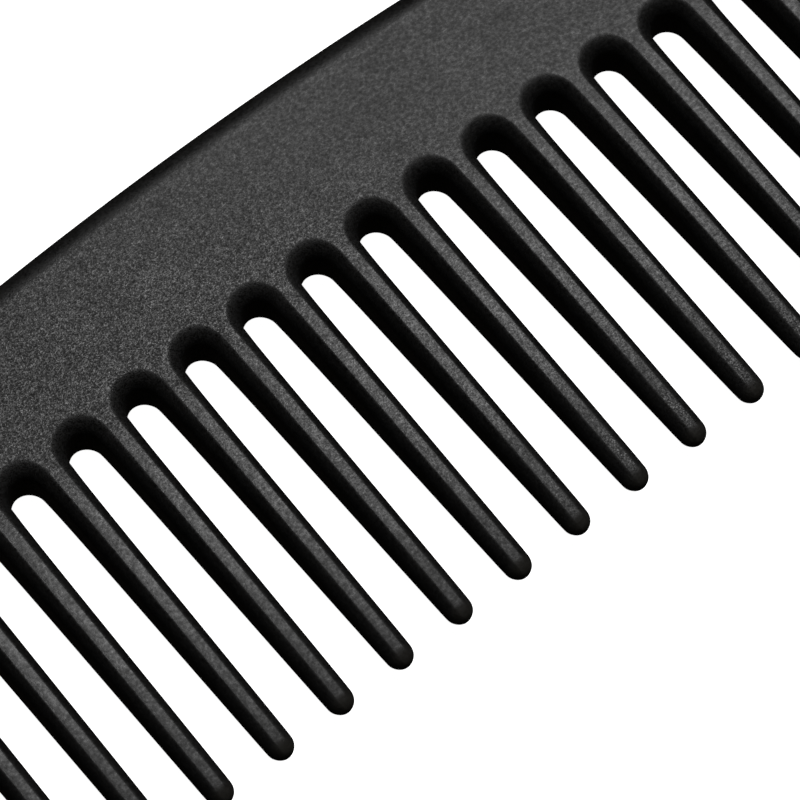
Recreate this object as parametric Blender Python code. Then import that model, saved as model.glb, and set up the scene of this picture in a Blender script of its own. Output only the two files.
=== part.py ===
"""Wide-toothed hair comb: one plastic moulding, divided into its back bar, its teeth and its two guard teeth.

X runs along the comb, Y from the tooth tips to the back, Z through its thickness.
The origin is the bottom centre of the bounding box, so the comb lies flat on the XY plane.
"""

import math

import bmesh
import bpy

# Back bar, in metres
BAR_DEPTH = 0.01479  # highest point of the slot ends' arc to the highest point of the back
THICKNESS = 0.0058  # across the band that the teeth grow from
BACK_RADIUS = 0.350  # the back's arc, seen from the front
ROOT_RADIUS = 0.700  # the arc that the slot ends follow
END_CORNER_RADIUS = 0.0075

# Teeth
TOOTH_COUNT = 27
TOOTH_PITCH = 0.0060
SLOT_DEPTH = 0.03217  # tips to the highest point of the slot ends' arc
TOOTH_ROOT_WIDTH = 0.00265  # before the flare
TOOTH_TIP_WIDTH = 0.00232
TOOTH_TIP_THICKNESS = 0.0029
GUARD_ROOT_WIDTH = 0.0056
GUARD_TIP_WIDTH = 0.0040
GUARD_TIP_THICKNESS = 0.0030
TIP_ROUND_LENGTH = 0.0012  # length of the rounded end
THICK_BAND = 0.0058  # how far the full thickness runs down from the slot ends
TAPER_POWER = 1.4  # of the thickness: above 1, it starts gently and steepens towards the tip
ROOT_FLARE = 0.00026  # how far each side of a tooth's root spreads into the bar
FLARE_LENGTH = 0.0042  # how quickly the flare dies away down the root
ARCH_RISE = 0.0016  # height of the rounded end of a slot

# Rounded edges; a power of 2 is an ellipse, and less turns early and runs down a steeper flank
SIDE_ROUND = 0.00070  # across a tooth's long edges, in X
SIDE_HEIGHT = 0.0013  # how deep it reaches, in Z
SIDE_POWER = 1.5
ROOT_ROUND = 0.00150  # across a slot's end, in Y
ROOT_HEIGHT = 0.00105
ROOT_POWER = 1.8
BACK_ROUND = 0.0023  # along the back, in Y
BACK_EDGE_FLAT = 0.0008  # narrow flat along the parting line
BAR_LAND = 0.0020  # least flat left on the bar between the slots and the back's rounding

# Division into pieces
STUB_LENGTH = 0.0013  # tooth left on the bar below the arches
CUT_GAP = 0.0003

# Facets
ARCH_STEPS = 6
ROUND_STEPS = 3
BACK_STEPS = 40
CORNER_STEPS = 4
TOOTH_STEPS = 4
TIP_STEPS = 2
SMOOTH_ANGLE = math.radians(40)

# Finishes: colour, roughness
GRAINED = ((0.035, 0.035, 0.036, 1.0), 0.65)
SATIN = ((0.022, 0.022, 0.023, 1.0), 0.42)

HALF_THICKNESS = THICKNESS / 2
HALF_WIDTH = (SLOT_DEPTH + BAR_DEPTH) / 2
TIP_LINE = -HALF_WIDTH
SLOT_HALF_WIDTH = (TOOTH_PITCH - TOOTH_ROOT_WIDTH) / 2
LAST_SLOT_X = TOOTH_COUNT * TOOTH_PITCH / 2
GUARD_INNER_X = LAST_SLOT_X + SLOT_HALF_WIDTH
GUARD_X = GUARD_INNER_X + GUARD_ROOT_WIDTH / 2
HALF_LENGTH = GUARD_INNER_X + GUARD_ROOT_WIDTH
TOOTH = {
    "root_width": TOOTH_ROOT_WIDTH,
    "tip_width": TOOTH_TIP_WIDTH,
    "tip_thickness": TOOTH_TIP_THICKNESS,
    "flares": (1, 1),  # whether its left and right roots flare: only beside a slot
}
GUARD = {
    "root_width": GUARD_ROOT_WIDTH,
    "tip_width": GUARD_TIP_WIDTH,
    "tip_thickness": GUARD_TIP_THICKNESS,
}
LEFT_GUARD = {**GUARD, "flares": (0, 1)}
RIGHT_GUARD = {**GUARD, "flares": (1, 0)}


def clear_scene():
    for obj in list(bpy.data.objects):
        bpy.data.objects.remove(obj, do_unlink=True)


def make_material(name, finish):
    colour, roughness = finish
    material = bpy.data.materials.new(name)
    material.use_nodes = True
    shader = material.node_tree.nodes["Principled BSDF"]
    shader.inputs["Base Color"].default_value = colour
    shader.inputs["Roughness"].default_value = roughness
    shader.inputs["Metallic"].default_value = 0.0
    material.diffuse_color = colour
    return material


def tooth_x(index):
    return (index - (TOOTH_COUNT - 1) / 2) * TOOTH_PITCH


def arc_drop(x, radius):
    """How far an arc that peaks at x = 0 has fallen at x."""
    return radius - math.sqrt(radius * radius - x * x)


def slot_end(x):
    """Y of the slot ends' arc at x, halfway through the thickness."""
    return TIP_LINE + SLOT_DEPTH - arc_drop(x, ROOT_RADIUS)


def back_edge(x):
    return HALF_WIDTH - arc_drop(x, BACK_RADIUS)


def cut_line(x):
    """Y where the tooth at x is divided from the bar."""
    return slot_end(x) - ARCH_RISE - STUB_LENGTH


def flare(depth):
    """How far one side of a tooth's root has spread at this depth below the slot ends."""
    return ROOT_FLARE * math.exp(-depth / FLARE_LENGTH)


def back_round(x):
    """The rounding's reach in from the back at x, limited by the bar's own depth there."""
    return min(BACK_ROUND, back_edge(x) - slot_end(x) - ROOT_ROUND - BAR_LAND)


def half_widths(centre_x, y, sizes):
    """How far a tooth reaches to its left and to its right at y, straight from its stub to its tip."""
    share = (cut_line(centre_x) - y) / (cut_line(centre_x) - TIP_LINE)
    spread = flare(ARCH_RISE + STUB_LENGTH)
    roots = [sizes["root_width"] / 2 + spread * flares for flares in sizes["flares"]]
    return [root + (sizes["tip_width"] / 2 - root) * share for root in roots]


def layer_steps():
    """(side, angle) of each layer, from the bottom face up to the top face."""
    quarter = [math.pi / 2 * step / ROUND_STEPS for step in range(ROUND_STEPS + 1)]
    return [(-1, angle) for angle in reversed(quarter)] + [(1, angle) for angle in quarter]


def edge_shares(angle, power):
    """Shares of a rounding's reach and of its height that are cut away at one layer."""
    return 1 - max(math.cos(angle), 0.0) ** (2 / power), 1 - max(math.sin(angle), 0.0) ** (2 / power)


def side_layer(side, angle, half_thickness):
    """How far a tooth's long edge is cut back at one layer, and the layer's height above mid-thickness."""
    cut, drop = edge_shares(angle, SIDE_POWER)
    return SIDE_ROUND * cut, side * (half_thickness - min(SIDE_HEIGHT, half_thickness) * drop)


def back_layer(side, angle):
    """Share of the back's rounding that is cut away at one layer, and the layer's height."""
    half_flat = BACK_EDGE_FLAT / 2
    return 1 - math.cos(angle), side * (half_flat + (HALF_THICKNESS - half_flat) * math.sin(angle))


def arch_points(slot_x, side, angle):
    """One layer of a slot's end, from its left wall over the arch to its right wall."""
    side_cut, side_z = side_layer(side, angle, HALF_THICKNESS)
    root_cut, root_drop = edge_shares(angle, ROOT_POWER)
    root_z = side * (HALF_THICKNESS - ROOT_HEIGHT * root_drop)
    points = []
    for step in range(ARCH_STEPS + 1):
        turn = math.pi * (1 - step / ARCH_STEPS)
        up = math.sin(turn)
        half_width = SLOT_HALF_WIDTH - flare(ARCH_RISE * (1 - up)) + side_cut
        y = slot_end(slot_x) - ARCH_RISE + (ARCH_RISE + ROOT_ROUND * root_cut) * up
        points.append((slot_x + half_width * math.cos(turn), y, side_z + (root_z - side_z) * up))
    return points


def stub_points(centre_x, sizes, side, angle):
    """One layer of a tooth stub's cut end, from left to right."""
    cut, height = side_layer(side, angle, HALF_THICKNESS)
    y = cut_line(centre_x)
    left, right = half_widths(centre_x, y, sizes)
    return [(centre_x - left + cut, y, height), (centre_x + right - cut, y, height)]


def end_corner_points(side, angle):
    """One layer of the bar's right end, from its straight side round the corner to the back."""
    cut, edge_height = side_layer(side, angle, HALF_THICKNESS)
    inset, back_height = back_layer(side, angle)
    corner_x = HALF_LENGTH - END_CORNER_RADIUS
    corner_y = back_edge(corner_x) - END_CORNER_RADIUS
    reach_x = END_CORNER_RADIUS - cut
    reach_y = END_CORNER_RADIUS - back_round(corner_x) * inset
    points = []
    for step in range(CORNER_STEPS):
        turn = math.pi / 2 * step / CORNER_STEPS
        height = edge_height + (back_height - edge_height) * math.sin(turn)
        points.append((corner_x + reach_x * math.cos(turn), corner_y + reach_y * math.sin(turn), height))
    return points


def back_points(side, angle):
    """One layer of the back, from right to left."""
    inset, height = back_layer(side, angle)
    corner_x = HALF_LENGTH - END_CORNER_RADIUS
    points = []
    for step in range(BACK_STEPS + 1):
        x = corner_x * (1 - 2 * step / BACK_STEPS)
        points.append((x, back_edge(x) - back_round(x) * inset, height))
    return points


def bar_outline(side, angle):
    """One layer of the whole bar, anticlockwise from the left guard tooth's stub."""
    points = stub_points(-GUARD_X, LEFT_GUARD, side, angle)
    for index in range(TOOTH_COUNT):
        points += arch_points(tooth_x(index) - TOOTH_PITCH / 2, side, angle)
        points += stub_points(tooth_x(index), TOOTH, side, angle)
    points += arch_points(LAST_SLOT_X, side, angle)
    points += stub_points(GUARD_X, RIGHT_GUARD, side, angle)
    right_end = end_corner_points(side, angle)
    left_end = [(-x, y, z) for x, y, z in reversed(right_end)]
    return points + right_end + back_points(side, angle) + left_end


def half_thickness_at(centre_x, y, tip_thickness):
    """Half the thickness of the tooth at y: all of it in the thick band, the least at the tip."""
    full_y = slot_end(centre_x) - THICK_BAND
    share = (max(full_y - y, 0.0) / (full_y - TIP_LINE)) ** TAPER_POWER
    return (THICKNESS + (tip_thickness - THICKNESS) * share) / 2


def tooth_section(centre_x, y, sizes, scale=1.0):
    """One ring round a tooth: up its right side and down its left side."""
    left_half, right_half = half_widths(centre_x, y, sizes)
    half_thickness = half_thickness_at(centre_x, y, sizes["tip_thickness"])
    layers = [side_layer(side, angle, half_thickness) for side, angle in layer_steps()]
    ring = [(right_half - cut, z) for cut, z in layers]
    ring += [(cut - left_half, z) for cut, z in reversed(layers)]
    return [(centre_x + x * scale, y, z * scale) for x, z in ring]


def loft(mesh, rings):
    """Vertices for each ring and faces between each ring and the next; returns the rings' vertices."""
    made = [[mesh.verts.new(point) for point in ring] for ring in rings]
    for lower, upper in zip(made, made[1:]):
        for index in range(len(lower)):
            following = (index + 1) % len(lower)
            mesh.faces.new((lower[index], lower[following], upper[following], upper[index]))
    return made


def add_object(name, mesh, material):
    bmesh.ops.recalc_face_normals(mesh, faces=mesh.faces)
    data = bpy.data.meshes.new(name)
    mesh.to_mesh(data)
    mesh.free()
    data.materials.append(material)
    data.shade_smooth()
    data.set_sharp_from_angle(angle=SMOOTH_ANGLE)
    obj = bpy.data.objects.new(name, data)
    obj.location.z = HALF_THICKNESS
    bpy.context.scene.collection.objects.link(obj)
    return obj


def make_spine(material):
    """The back bar: layers of the same outline from face to face, closed by the two flat faces."""
    mesh = bmesh.new()
    layers = loft(mesh, [bar_outline(side, angle) for side, angle in layer_steps()])
    mesh.faces.new(reversed(layers[0]))
    mesh.faces.new(layers[-1])
    return add_object("spine", mesh, material)


def make_tooth(name, centre_x, sizes, material):
    """A tooth from its cut end, through its taper, to a rounded tip."""
    round_start = TIP_LINE + TIP_ROUND_LENGTH
    full_y = slot_end(centre_x) - THICK_BAND
    rings = [tooth_section(centre_x, cut_line(centre_x) - CUT_GAP, sizes)]
    for step in range(TOOTH_STEPS + 1):
        y = full_y + (round_start - full_y) * step / TOOTH_STEPS
        rings.append(tooth_section(centre_x, y, sizes))
    for step in range(1, TIP_STEPS + 1):
        turn = math.pi / 2 * step / (TIP_STEPS + 1)
        y = round_start - TIP_ROUND_LENGTH * math.sin(turn)
        rings.append(tooth_section(centre_x, y, sizes, scale=math.cos(turn)))
    mesh = bmesh.new()
    made = loft(mesh, rings)
    mesh.faces.new(made[0])
    point = mesh.verts.new((centre_x, TIP_LINE, 0.0))
    last = made[-1]
    for index, vertex in enumerate(last):
        mesh.faces.new((vertex, last[(index + 1) % len(last)], point))
    return add_object(name, mesh, material)


def build():
    clear_scene()
    grained = make_material("grained_plastic", GRAINED)
    satin = make_material("satin_plastic", SATIN)
    make_spine(grained)
    for index in range(TOOTH_COUNT):
        make_tooth(f"tooth_{index + 1:02d}", tooth_x(index), TOOTH, satin)
    make_tooth("guard_tooth_left", -GUARD_X, LEFT_GUARD, satin)
    make_tooth("guard_tooth_right", GUARD_X, RIGHT_GUARD, satin)


build()
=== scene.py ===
import math

import bmesh
import bpy
from mathutils import Matrix, Vector


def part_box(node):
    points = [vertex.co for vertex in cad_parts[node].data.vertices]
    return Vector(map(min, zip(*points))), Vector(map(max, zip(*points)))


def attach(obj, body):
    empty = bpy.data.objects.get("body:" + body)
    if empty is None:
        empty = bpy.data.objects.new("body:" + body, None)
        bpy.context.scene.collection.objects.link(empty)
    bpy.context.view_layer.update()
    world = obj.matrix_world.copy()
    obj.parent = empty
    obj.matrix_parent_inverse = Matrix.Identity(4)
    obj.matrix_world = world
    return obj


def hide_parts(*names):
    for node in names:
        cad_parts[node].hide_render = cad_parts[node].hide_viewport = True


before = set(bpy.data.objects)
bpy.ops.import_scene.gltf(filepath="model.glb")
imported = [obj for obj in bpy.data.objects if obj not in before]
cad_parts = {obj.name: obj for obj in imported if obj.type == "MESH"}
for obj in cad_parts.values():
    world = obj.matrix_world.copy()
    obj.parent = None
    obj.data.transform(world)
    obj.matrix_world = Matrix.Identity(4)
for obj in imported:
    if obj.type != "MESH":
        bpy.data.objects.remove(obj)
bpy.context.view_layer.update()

print("frame loaded:", len(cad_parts), "pieces")

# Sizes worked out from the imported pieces
barLow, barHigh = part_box("spine")
toothNames = sorted(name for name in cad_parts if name.startswith("tooth_"))
toothCount = len(toothNames)
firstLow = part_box(toothNames[0])[0]
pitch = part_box(toothNames[1])[0].x - firstLow.x
halfThick = (barHigh.z - barLow.z) / 2
midZ = (barHigh.z + barLow.z) / 2
halfLength = barHigh.x
backTop = barHigh.y
tipLine = firstLow.y

# The comb's own curves, shared by the bar and the teeth
comb = {
    "backRadius": 0.350,  # arc of the back
    "rootRadius": 0.700,  # arc that the slot ends follow
    "cornerRadius": 0.0075,  # the bar's two ends
    "archRise": 0.0016,  # height of a slot's rounded end
    "stub": 0.0013,  # tooth left on the bar below it
    "cutGap": 0.0003,  # gap in the frame between the bar and each tooth
    "rootWidth": 0.00265,  # of a tooth where it leaves the bar, before its flare
    "rootFlare": 0.00026,  # how far each side of a tooth spreads into the bar
    "flareLength": 0.0042,  # how quickly the flare dies away down the tooth
    "thickBand": 0.0058,  # full thickness below the slot ends
    "sideRound": 0.00080,  # rounding of a tooth's long edges
    "rootSoften": 1.2,  # how much the flare widens that rounding
    "sidePower": 1.5,  # below 2, the edge turns early and then runs down a steep flank
    "sideHeight": 0.0013,  # how deep it reaches
    "rootRound": 0.00145,  # rounding of a slot's end
    "rootPower": 1.7,
    "rootHeight": 0.00145,
    "holdLoop": 0.04,  # share of a rounding kept flat beside it, to hold the shading
    "roundSteps": 9,
    "creaseAngle": 50.0,  # degrees; edges sharper than this keep a hard line
}

quarterTurn = math.pi / 2
slotHalf = (pitch - comb["rootWidth"]) / 2
lastSlotX = toothCount * pitch / 2
guardWidth = halfLength - lastSlotX - slotHalf
guardX = halfLength - guardWidth / 2


def arcDrop(x, radius):
    return radius - math.sqrt(radius * radius - x * x)


def toothX(index):
    return (index - (toothCount - 1) / 2) * pitch


# The middle tooth gives the height of the slot ends' arc
middle = toothCount // 2
slotEndMiddle = (
    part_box(toothNames[middle])[1].y
    + comb["cutGap"] + comb["stub"] + comb["archRise"]
    + arcDrop(toothX(middle), comb["rootRadius"])
)


def slotEnd(x):
    return slotEndMiddle - arcDrop(x, comb["rootRadius"])


def backEdge(x):
    return backTop - arcDrop(x, comb["backRadius"])


def cutLine(x):
    return slotEnd(x) - comb["archRise"] - comb["stub"]


def flare(depth):
    return comb["rootFlare"] * math.exp(-depth / comb["flareLength"])


def edgeReach(depth):
    return comb["sideRound"] + comb["rootSoften"] * flare(depth)


def sideReaches(x, y, shape):
    # How far a tooth reaches to its left and right at y; only a side beside a slot flares
    depth = slotEnd(x) - y
    share = depth / (slotEnd(x) - tipLine)
    half = (shape["rootWidth"] + (shape["tipWidth"] - shape["rootWidth"]) * share) / 2
    leftFlare, rightFlare = shape["flares"]
    return half + leftFlare * flare(depth), half + rightFlare * flare(depth)


# Widths of the three kinds of tooth, with the sides that flare
tooth = {"rootWidth": comb["rootWidth"], "tipWidth": 0.00232, "tipThick": 0.0029, "flares": (1, 1)}
leftGuard = {"rootWidth": guardWidth, "tipWidth": 0.0040, "tipThick": 0.0030, "flares": (0, 1)}
rightGuard = dict(leftGuard, flares=(1, 0))


def roundingSteps():
    # Bottom face to top face: side, and the way round the edge from 0 at the wall to 1 at the face
    steps = comb["roundSteps"]
    way = [step / steps for step in range(steps + 1)]
    return [(-1, share) for share in reversed(way)] + [(1, share) for share in way]


def heldSteps():
    beyond = 1 + comb["holdLoop"]
    return [(-1, beyond)] + roundingSteps() + [(1, beyond)]


def edgeShape(way, power):
    # Share of the rounding cut away, and share of its height still to climb
    if way >= 1:
        return way, 0.0
    turn = quarterTurn * way
    return 1 - math.cos(turn) ** (2 / power), 1 - math.sin(turn) ** (2 / power)


def sideZ(side, left, half):
    return side * (half - min(comb["sideHeight"], half) * left)


def loftRings(mesh, rings):
    made = [[mesh.verts.new(point) for point in ring] for ring in rings]
    for lower, upper in zip(made, made[1:]):
        for index in range(len(lower)):
            following = (index + 1) % len(lower)
            mesh.faces.new((lower[index], lower[following], upper[following], upper[index]))
    return made


def pieceFrom(mesh, name, finish, node):
    bmesh.ops.recalc_face_normals(mesh, faces=mesh.faces)
    data = bpy.data.meshes.new(name)
    mesh.to_mesh(data)
    mesh.free()
    data.transform(Matrix.Translation((0.0, 0.0, midZ)))
    data.materials.append(finish)
    data.shade_smooth()
    data.set_sharp_from_angle(angle=math.radians(comb["creaseAngle"]))
    piece = bpy.data.objects.new(name, data)
    bpy.context.scene.collection.objects.link(piece)
    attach(piece, "root")
    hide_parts(node)


# Moulded plastic, one recipe for both finishes so that they meet without a line
plastic = {
    "colour": (0.0036, 0.0034, 0.0032, 1.0),
    "dustColour": (0.0085, 0.0082, 0.0078, 1.0),
    "wearAndSheenColour": (0.040, 0.037, 0.031, 1.0),  # rubbed tips: a lighter, warm tip colour that is partly wear and partly a painted sheen of reflected floor light
    "wearAndSheenLength": 0.0016,
    "wearAndSheenBase": 0.7,
    "tipReach": 3.0,  # tooth pitches over which the tips turn duller
    "rubbedStart": 0.75,  # share of that reach where the tips' own grain begins
    "dustSpread": 0.3,
    "grainSize": 0.00013,  # sparkle of the mould's texture
    "grainDetail": 1.0,
    "grainDepth": 0.000026,
    "grainGloss": 1.5,  # how strongly it changes the gloss
    "grainLean": 0.65,  # it is fresh in a leaning band, and worn away on both sides of it
    "grainBand": (-0.028, -0.005, 0.000, 0.032),  # begins, full, still full, ends
    "toothGrain": 0.42,  # share of it on the teeth
    "tipGrain": 0.60,  # and what the rubbed tips add
    "sandSize": 0.00030,  # the soft cells under it
    "sandDetail": 2.0,
    "sandDepth": 0.000030,
    "sandGloss": 0.52,
    "mottleSize": 0.004,
    "mottleDetail": 3.0,
    "mottleGloss": 0.14,
    "dragSpacing": 0.00022,  # fine lines rubbed along the teeth
    "dragLength": 0.006,
    "dragDetail": 3.0,
    "dragDepth": 0.000007,
    "barRoughness": 0.52,
    "freshRoughness": 0.02,  # rougher where the grain is fresh
    "toothRoughness": 0.45,
    "tipRoughness": 0.58,
    "leastRoughness": 0.22,
    "noiseRoughness": 0.6,
    "ior": 1.5,
}


def addNode(tree, kind, **settings):
    made = tree.nodes.new(kind)
    for key, value in settings.items():
        setattr(made, key, value)
    return made


def mathNode(tree, operation, first, second):
    made = addNode(tree, "ShaderNodeMath", operation=operation)
    for socket, value in zip(made.inputs, (first, second)):
        if isinstance(value, (int, float)):
            socket.default_value = value
        else:
            tree.links.new(value, socket)
    return made.outputs["Value"]


def mapRange(tree, value, fromLow, fromHigh, toLow, toHigh, smooth=False):
    made = addNode(tree, "ShaderNodeMapRange")
    if smooth:
        made.interpolation_type = "SMOOTHSTEP"
    tree.links.new(value, made.inputs["Value"])
    made.inputs["From Min"].default_value = fromLow
    made.inputs["From Max"].default_value = fromHigh
    made.inputs["To Min"].default_value = toLow
    made.inputs["To Max"].default_value = toHigh
    return made.outputs["Result"]


def noise(tree, where, size, detail, stretch=(1.0, 1.0, 1.0)):
    mapping = addNode(tree, "ShaderNodeMapping")
    mapping.inputs["Scale"].default_value = stretch
    tree.links.new(where, mapping.inputs["Vector"])
    made = addNode(tree, "ShaderNodeTexNoise")
    made.inputs["Scale"].default_value = 1 / size
    made.inputs["Detail"].default_value = detail
    made.inputs["Roughness"].default_value = plastic["noiseRoughness"]
    tree.links.new(mapping.outputs["Vector"], made.inputs["Vector"])
    return made.outputs["Fac"]


def evenNoise(tree, where, size, detail):
    # Noise about zero, so that it lifts as much as it lowers
    return mathNode(tree, "SUBTRACT", noise(tree, where, size, detail), 0.5)


def addScaled(tree, total, value, amount):
    return mathNode(tree, "ADD", total, mathNode(tree, "MULTIPLY", value, amount))


def blend(tree, share, first, second):
    made = addNode(tree, "ShaderNodeMix", data_type="RGBA")
    tree.links.new(share, made.inputs["Factor"])
    for socket, colour in ((made.inputs[6], first), (made.inputs[7], second)):
        if isinstance(colour, tuple):
            socket.default_value = colour
        else:
            tree.links.new(colour, socket)
    return made.outputs[2]


def mouldedPlastic(name):
    material = bpy.data.materials.new(name)
    material.use_nodes = True
    tree = material.node_tree
    shader = tree.nodes["Principled BSDF"]
    where = addNode(tree, "ShaderNodeTexCoord").outputs["Object"]
    split = addNode(tree, "ShaderNodeSeparateXYZ")
    tree.links.new(where, split.inputs["Vector"])

    along = split.outputs["Y"]
    tipEnd = tipLine + plastic["tipReach"] * pitch
    onTooth = mapRange(tree, along, slotEndMiddle - pitch, slotEndMiddle, 1.0, 0.0, True)
    nearTip = mapRange(tree, along, tipLine, tipEnd, 1.0, 0.0, True)
    # Mask for the lighter tip colour over the last stretch of each tooth: tip wear plus a painted sheen
    wearAndSheen = mapRange(tree, along, tipLine, tipLine + plastic["wearAndSheenLength"], 1.0, 0.0, True)
    across = mathNode(tree, "MULTIPLY", split.outputs["X"], plastic["grainLean"])
    across = mathNode(tree, "ADD", across, along)
    begins, full, fullStill, ends = plastic["grainBand"]
    rising = mapRange(tree, across, begins, full, 0.0, 1.0, True)
    falling = mapRange(tree, across, fullStill, ends, 1.0, 0.0, True)
    rubbed = mapRange(tree, nearTip, plastic["rubbedStart"], 1.0, 0.0, 1.0)
    fresh = mathNode(tree, "MINIMUM", rising, falling)
    share = mapRange(tree, onTooth, 0.0, 1.0, 1.0, plastic["toothGrain"])
    share = addScaled(tree, share, rubbed, plastic["tipGrain"])
    fresh = mathNode(tree, "MULTIPLY", fresh, share)

    grain = evenNoise(tree, where, plastic["grainSize"], plastic["grainDetail"])
    grain = mathNode(tree, "MULTIPLY", grain, fresh)
    sand = evenNoise(tree, where, plastic["sandSize"], plastic["sandDetail"])
    mottle = evenNoise(tree, where, plastic["mottleSize"], plastic["mottleDetail"])
    dragStretch = (1.0, plastic["dragSpacing"] / plastic["dragLength"], 1.0)
    drag = noise(tree, where, plastic["dragSpacing"], plastic["dragDetail"], dragStretch)

    height = mathNode(tree, "MULTIPLY", grain, plastic["grainDepth"])
    height = addScaled(tree, height, sand, plastic["sandDepth"])
    height = addScaled(tree, height, mathNode(tree, "MULTIPLY", drag, onTooth), plastic["dragDepth"])
    bump = addNode(tree, "ShaderNodeBump")
    bump.inputs["Strength"].default_value = 1.0
    bump.inputs["Distance"].default_value = 1.0
    tree.links.new(height, bump.inputs["Height"])
    tree.links.new(bump.outputs["Normal"], shader.inputs["Normal"])

    gloss = mapRange(tree, onTooth, 0.0, 1.0, plastic["barRoughness"], plastic["toothRoughness"])
    gloss = addScaled(tree, gloss, nearTip, plastic["tipRoughness"] - plastic["toothRoughness"])
    gloss = addScaled(tree, gloss, fresh, plastic["freshRoughness"])
    gloss = addScaled(tree, gloss, mottle, plastic["mottleGloss"])
    gloss = addScaled(tree, gloss, sand, plastic["sandGloss"])
    gloss = addScaled(tree, gloss, grain, plastic["grainGloss"])
    gloss = mathNode(tree, "MAXIMUM", gloss, plastic["leastRoughness"])
    tree.links.new(gloss, shader.inputs["Roughness"])

    spread = plastic["dustSpread"]
    dusty = mapRange(tree, mathNode(tree, "ADD", mottle, sand), -spread, spread, 0.0, 1.0)
    tone = blend(tree, dusty, plastic["colour"], plastic["dustColour"])
    # The tips are lightened towards a warm colour: partly wear, partly a painted sheen standing in for
    # floor light reflected off the tip domes
    wearAndSheen = mathNode(tree, "MULTIPLY", wearAndSheen, mathNode(tree, "ADD", grain, plastic["wearAndSheenBase"]))
    tone = blend(tree, wearAndSheen, tone, plastic["wearAndSheenColour"])
    tree.links.new(tone, shader.inputs["Base Color"])
    shader.inputs["IOR"].default_value = plastic["ior"]
    return material


barPlastic = mouldedPlastic("barPlastic")
toothPlastic = mouldedPlastic("toothPlastic")
print("plastic mixed")

# Back bar
bar = {
    "backRound": 0.0023,  # rounding along the back
    "backPower": 2.0,
    "backFlat": 0.0008,  # narrow flat along the parting line
    "leastLand": 0.0020,  # flat left between the slots and the back's rounding
    "archSteps": 22,
    "backSteps": 120,
    "cornerSteps": 12,
}


def backRound(x):
    return min(bar["backRound"], backEdge(x) - slotEnd(x) - comb["rootRound"] - bar["leastLand"])


def backZ(side, left):
    halfFlat = bar["backFlat"] / 2
    return side * (halfFlat + (halfThick - halfFlat) * (1 - left))


def archPoints(slotX, side, way):
    sideCut, sideLeft = edgeShape(way, comb["sidePower"])
    rootCut, rootLeft = edgeShape(way, comb["rootPower"])
    spring = slotEnd(slotX) - comb["archRise"]
    rise = comb["archRise"] + comb["rootRound"] * rootCut
    points = []
    for step in range(bar["archSteps"] + 1):
        turn = math.pi * (1 - step / bar["archSteps"])
        overArch = math.sin(turn)
        depth = comb["archRise"] * (1 - overArch)
        halfWide = slotHalf - flare(depth) + edgeReach(depth) * sideCut
        sideDrop = comb["sideHeight"] * sideLeft
        rootDrop = comb["rootHeight"] * rootLeft
        z = side * (halfThick - sideDrop - (rootDrop - sideDrop) * overArch)
        points.append((slotX + halfWide * math.cos(turn), spring + rise * overArch, z))
    return points


def stubPoints(x, shape, side, way):
    cut, left = edgeShape(way, comb["sidePower"])
    y = cutLine(x)
    z = sideZ(side, left, halfThick)
    leftReach, rightReach = sideReaches(x, y, shape)
    inset = edgeReach(slotEnd(x) - y) * cut
    return [(x - leftReach + inset, y, z), (x + rightReach - inset, y, z)]


def cornerPoints(side, way):
    sideCut, sideLeft = edgeShape(way, comb["sidePower"])
    backCut, backLeft = edgeShape(way, bar["backPower"])
    cornerX = halfLength - comb["cornerRadius"]
    cornerY = backEdge(cornerX) - comb["cornerRadius"]
    reachX = comb["cornerRadius"] - comb["sideRound"] * sideCut
    reachY = comb["cornerRadius"] - backRound(cornerX) * backCut
    lowZ = sideZ(side, sideLeft, halfThick)
    highZ = backZ(side, backLeft)
    points = []
    for step in range(bar["cornerSteps"]):
        turn = quarterTurn * step / bar["cornerSteps"]
        z = lowZ + (highZ - lowZ) * math.sin(turn)
        points.append((cornerX + reachX * math.cos(turn), cornerY + reachY * math.sin(turn), z))
    return points


def backPoints(side, way):
    cut, left = edgeShape(way, bar["backPower"])
    cornerX = halfLength - comb["cornerRadius"]
    points = []
    for step in range(bar["backSteps"] + 1):
        x = cornerX * (1 - 2 * step / bar["backSteps"])
        points.append((x, backEdge(x) - backRound(x) * cut, backZ(side, left)))
    return points


def barRing(side, way):
    points = stubPoints(-guardX, leftGuard, side, way)
    for index in range(toothCount):
        points += archPoints(toothX(index) - pitch / 2, side, way)
        points += stubPoints(toothX(index), tooth, side, way)
    points += archPoints(lastSlotX, side, way)
    points += stubPoints(guardX, rightGuard, side, way)
    rightEnd = cornerPoints(side, way)
    leftEnd = [(-x, y, z) for x, y, z in reversed(rightEnd)]
    return points + rightEnd + backPoints(side, way) + leftEnd


def makeBar():
    mesh = bmesh.new()
    layers = loftRings(mesh, [barRing(*step) for step in heldSteps()])
    mesh.faces.new(list(reversed(layers[0])))
    mesh.faces.new(layers[-1])
    pieceFrom(mesh, "backBar", barPlastic, "spine")


makeBar()
print("back bar made")

# Teeth
teeth = {
    "tipRound": 0.0012,  # length of the rounded end
    "taperPower": 1.4,  # of the thickness: above 1, it starts gently and steepens towards the tip
    "tipFall": 0.0024,  # the thickness falls away towards the rounded end over this
    "tipDrop": 0.18,
    "crown": 0.000025,  # the ridge stands proud by this in its middle
    "crownStart": 0.004,  # below the cut, where the crown is full
    "crownSteps": 4,
    "crownShift": 0.3,  # share of a step that keeps the first one off the edge
    "rootSteps": 3,
    "lengthSteps": 30,
    "tipSteps": 9,
}


toothEdge = [(side, *edgeShape(way, comb["sidePower"])) for side, way in roundingSteps()]
ridgeShares = [
    1 - (step + teeth["crownShift"]) / teeth["crownSteps"] for step in range(teeth["crownSteps"])
]


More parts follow.
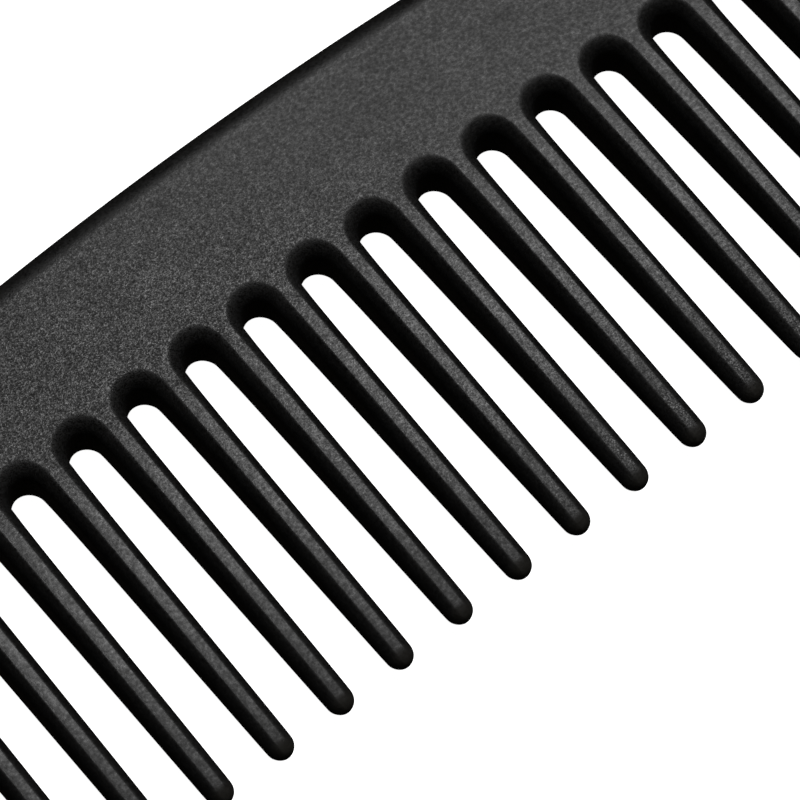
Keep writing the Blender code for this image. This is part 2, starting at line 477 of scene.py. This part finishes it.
def halfThickness(x, y, tipThick):
    fullY = slotEnd(x) - comb["thickBand"]
    share = (max(fullY - y, 0.0) / (fullY - tipLine)) ** teeth["taperPower"]
    nearEnd = max(1 - (y - tipLine) / teeth["tipFall"], 0.0)
    return (halfThick + (tipThick / 2 - halfThick) * share) * (1 - teeth["tipDrop"] * nearEnd ** 2)


def crownHeight(x, y):
    fall = min((cutLine(x) - y) / teeth["crownStart"], 1.0)
    return teeth["crown"] * fall * fall * (3 - 2 * fall)


def toothRing(x, y, shape, scale=1.0):
    # Up the right side, over the ridge and down the left side
    half = halfThickness(x, y, shape["tipThick"])
    crown = crownHeight(x, y)
    edge = edgeReach(slotEnd(x) - y)
    outline = [(edge * cut, sideZ(side, left, half - crown)) for side, cut, left in toothEdge]
    leftReach, rightReach = sideReaches(x, y, shape)
    ring = []
    for reach, way in ((rightReach, 1), (leftReach, -1)):
        flat = reach - edge
        ridge = [(flat * out, half - crown * out * out) for out in ridgeShares]
        sideRing = [(across, -z) for across, z in reversed(ridge)]
        sideRing += [(reach - inset, z) for inset, z in outline] + ridge
        ring += [(across * way, z) for across, z in sideRing[::way]]
    return [(x + across * scale, y, z * scale) for across, z in ring]


def makeTooth(name, node, x, shape):
    roundStart = tipLine + teeth["tipRound"]
    fullY = slotEnd(x) - comb["thickBand"]
    rings = [toothRing(x, cutLine(x), shape)]
    rootRings = teeth["rootSteps"]
    for step in range(rootRings):
        y = cutLine(x) + (fullY - cutLine(x)) * (step + 1) / (rootRings + 1)
        rings.append(toothRing(x, y, shape))
    for step in range(teeth["lengthSteps"] + 1):
        y = fullY + (roundStart - fullY) * step / teeth["lengthSteps"]
        rings.append(toothRing(x, y, shape))
    for step in range(1, teeth["tipSteps"] + 1):
        turn = quarterTurn * step / (teeth["tipSteps"] + 1)
        y = roundStart - teeth["tipRound"] * math.sin(turn)
        rings.append(toothRing(x, y, shape, math.cos(turn)))
    mesh = bmesh.new()
    made = loftRings(mesh, rings)
    mesh.faces.new(made[0])
    point = mesh.verts.new((x, tipLine, 0.0))
    last = made[-1]
    for index, corner in enumerate(last):
        mesh.faces.new((corner, last[(index + 1) % len(last)], point))
    pieceFrom(mesh, name, toothPlastic, node)


for index, node in enumerate(toothNames):
    makeTooth(f"combTooth{index + 1:02d}", node, toothX(index), tooth)
makeTooth("endToothLeft", "guard_tooth_left", -guardX, leftGuard)
makeTooth("endToothRight", "guard_tooth_right", guardX, rightGuard)
print("teeth made")

# Floor and light
studio = {
    "floorSize": 3.0,
    "floorGap": 0.0002,
    "floorColour": (0.9, 0.9, 0.9, 1.0),
    "floorGlow": 1.0,
    "glowColour": (1.0, 1.0, 1.0, 1.0),
    "paperRoughness": 0.9,
    "keySide": 15.0,  # degrees from overhead, towards the comb's right end
    "keyBack": 10.0,  # degrees from overhead, towards the comb's back
    "keyDistance": 1.0,
    "keySize": 0.5,
    "keyPower": 6.5,
    "bounceDrop": 0.02,  # a dim warm card below the floor, seen only in the gloss
    "bounceGlow": 0.009,
    "bounceColour": (1.0, 0.86, 0.70, 1.0),
    "darkColour": (0.0, 0.0, 0.0, 1.0),
}


def makeSheet(name, height, colour, glowColour, glow):
    mesh = bmesh.new()
    half = studio["floorSize"] / 2
    corners = [(-half, -half), (half, -half), (half, half), (-half, half)]
    mesh.faces.new([mesh.verts.new((x, y, height)) for x, y in corners])
    data = bpy.data.meshes.new(name)
    mesh.to_mesh(data)
    mesh.free()
    paper = bpy.data.materials.new(name + "Paper")
    paper.use_nodes = True
    shader = paper.node_tree.nodes["Principled BSDF"]
    shader.inputs["Base Color"].default_value = colour
    shader.inputs["Roughness"].default_value = studio["paperRoughness"]
    shader.inputs["Emission Color"].default_value = glowColour
    shader.inputs["Emission Strength"].default_value = glow
    data.materials.append(paper)
    sheet = bpy.data.objects.new(name, data)
    bpy.context.scene.collection.objects.link(sheet)
    return sheet


def makeFloor():
    floorZ = barLow.z - studio["floorGap"]
    floor = makeSheet("floor", floorZ, studio["floorColour"], studio["glowColour"], studio["floorGlow"])
    floor.visible_glossy = False
    floor.visible_diffuse = False
    cardZ = barLow.z - studio["bounceDrop"]
    card = makeSheet(
        "bounceCard", cardZ, studio["darkColour"], studio["bounceColour"], studio["bounceGlow"])
    card.visible_camera = False
    card.visible_diffuse = False


def aimAt(thing, place, target):
    thing.location = place
    thing.rotation_mode = "QUATERNION"
    thing.rotation_quaternion = (Vector(target) - Vector(place)).to_track_quat("-Z", "Y")


def makeLight(name, place, size, power):
    data = bpy.data.lights.new(name, "AREA")
    data.shape = "SQUARE"
    data.size = size
    data.energy = power
    lamp = bpy.data.objects.new(name, data)
    aimAt(lamp, place, (0.0, 0.0, midZ))
    bpy.context.scene.collection.objects.link(lamp)


makeFloor()
keySide = math.tan(math.radians(studio["keySide"]))
keyBack = math.tan(math.radians(studio["keyBack"]))
keyPlace = Vector((keySide, keyBack, 1.0)).normalized() * studio["keyDistance"]
makeLight("keyLight", keyPlace, studio["keySize"], studio["keyPower"])
world = bpy.data.worlds.new("studio")
world.use_nodes = True
world.node_tree.nodes["Background"].inputs["Color"].default_value = studio["darkColour"]
bpy.context.scene.world = world
bpy.context.scene.view_settings.view_transform = "Standard"
print("studio lit")

# Camera
view = {
    "target": (0.0017055, -0.00519, midZ),
    "distance": 0.46016,
    "azimuth": 236.547,
    "elevation": 66.682,
    "roll": -5.531,
    "lens": 257.4,
    "sensor": 36.0,
    "clipStart": 0.01,
    "clipEnd": 10.0,
}


def makeCamera():
    data = bpy.data.cameras.new("camera")
    data.sensor_width = view["sensor"]
    data.lens = view["lens"]
    data.clip_start = view["clipStart"]
    data.clip_end = view["clipEnd"]
    camera = bpy.data.objects.new("camera", data)
    azimuth = math.radians(view["azimuth"])
    elevation = math.radians(view["elevation"])
    away = Vector((
        math.cos(elevation) * math.cos(azimuth),
        math.cos(elevation) * math.sin(azimuth),
        math.sin(elevation),
    ))
    target = Vector(view["target"])
    place = target + away * view["distance"]
    turn = (-away).to_track_quat("-Z", "Y").to_matrix().to_4x4()
    roll = Matrix.Rotation(math.radians(view["roll"]), 4, "Z")
    camera.matrix_world = Matrix.Translation(place) @ turn @ roll
    bpy.context.scene.collection.objects.link(camera)
    bpy.context.scene.camera = camera


makeCamera()
print("camera set")
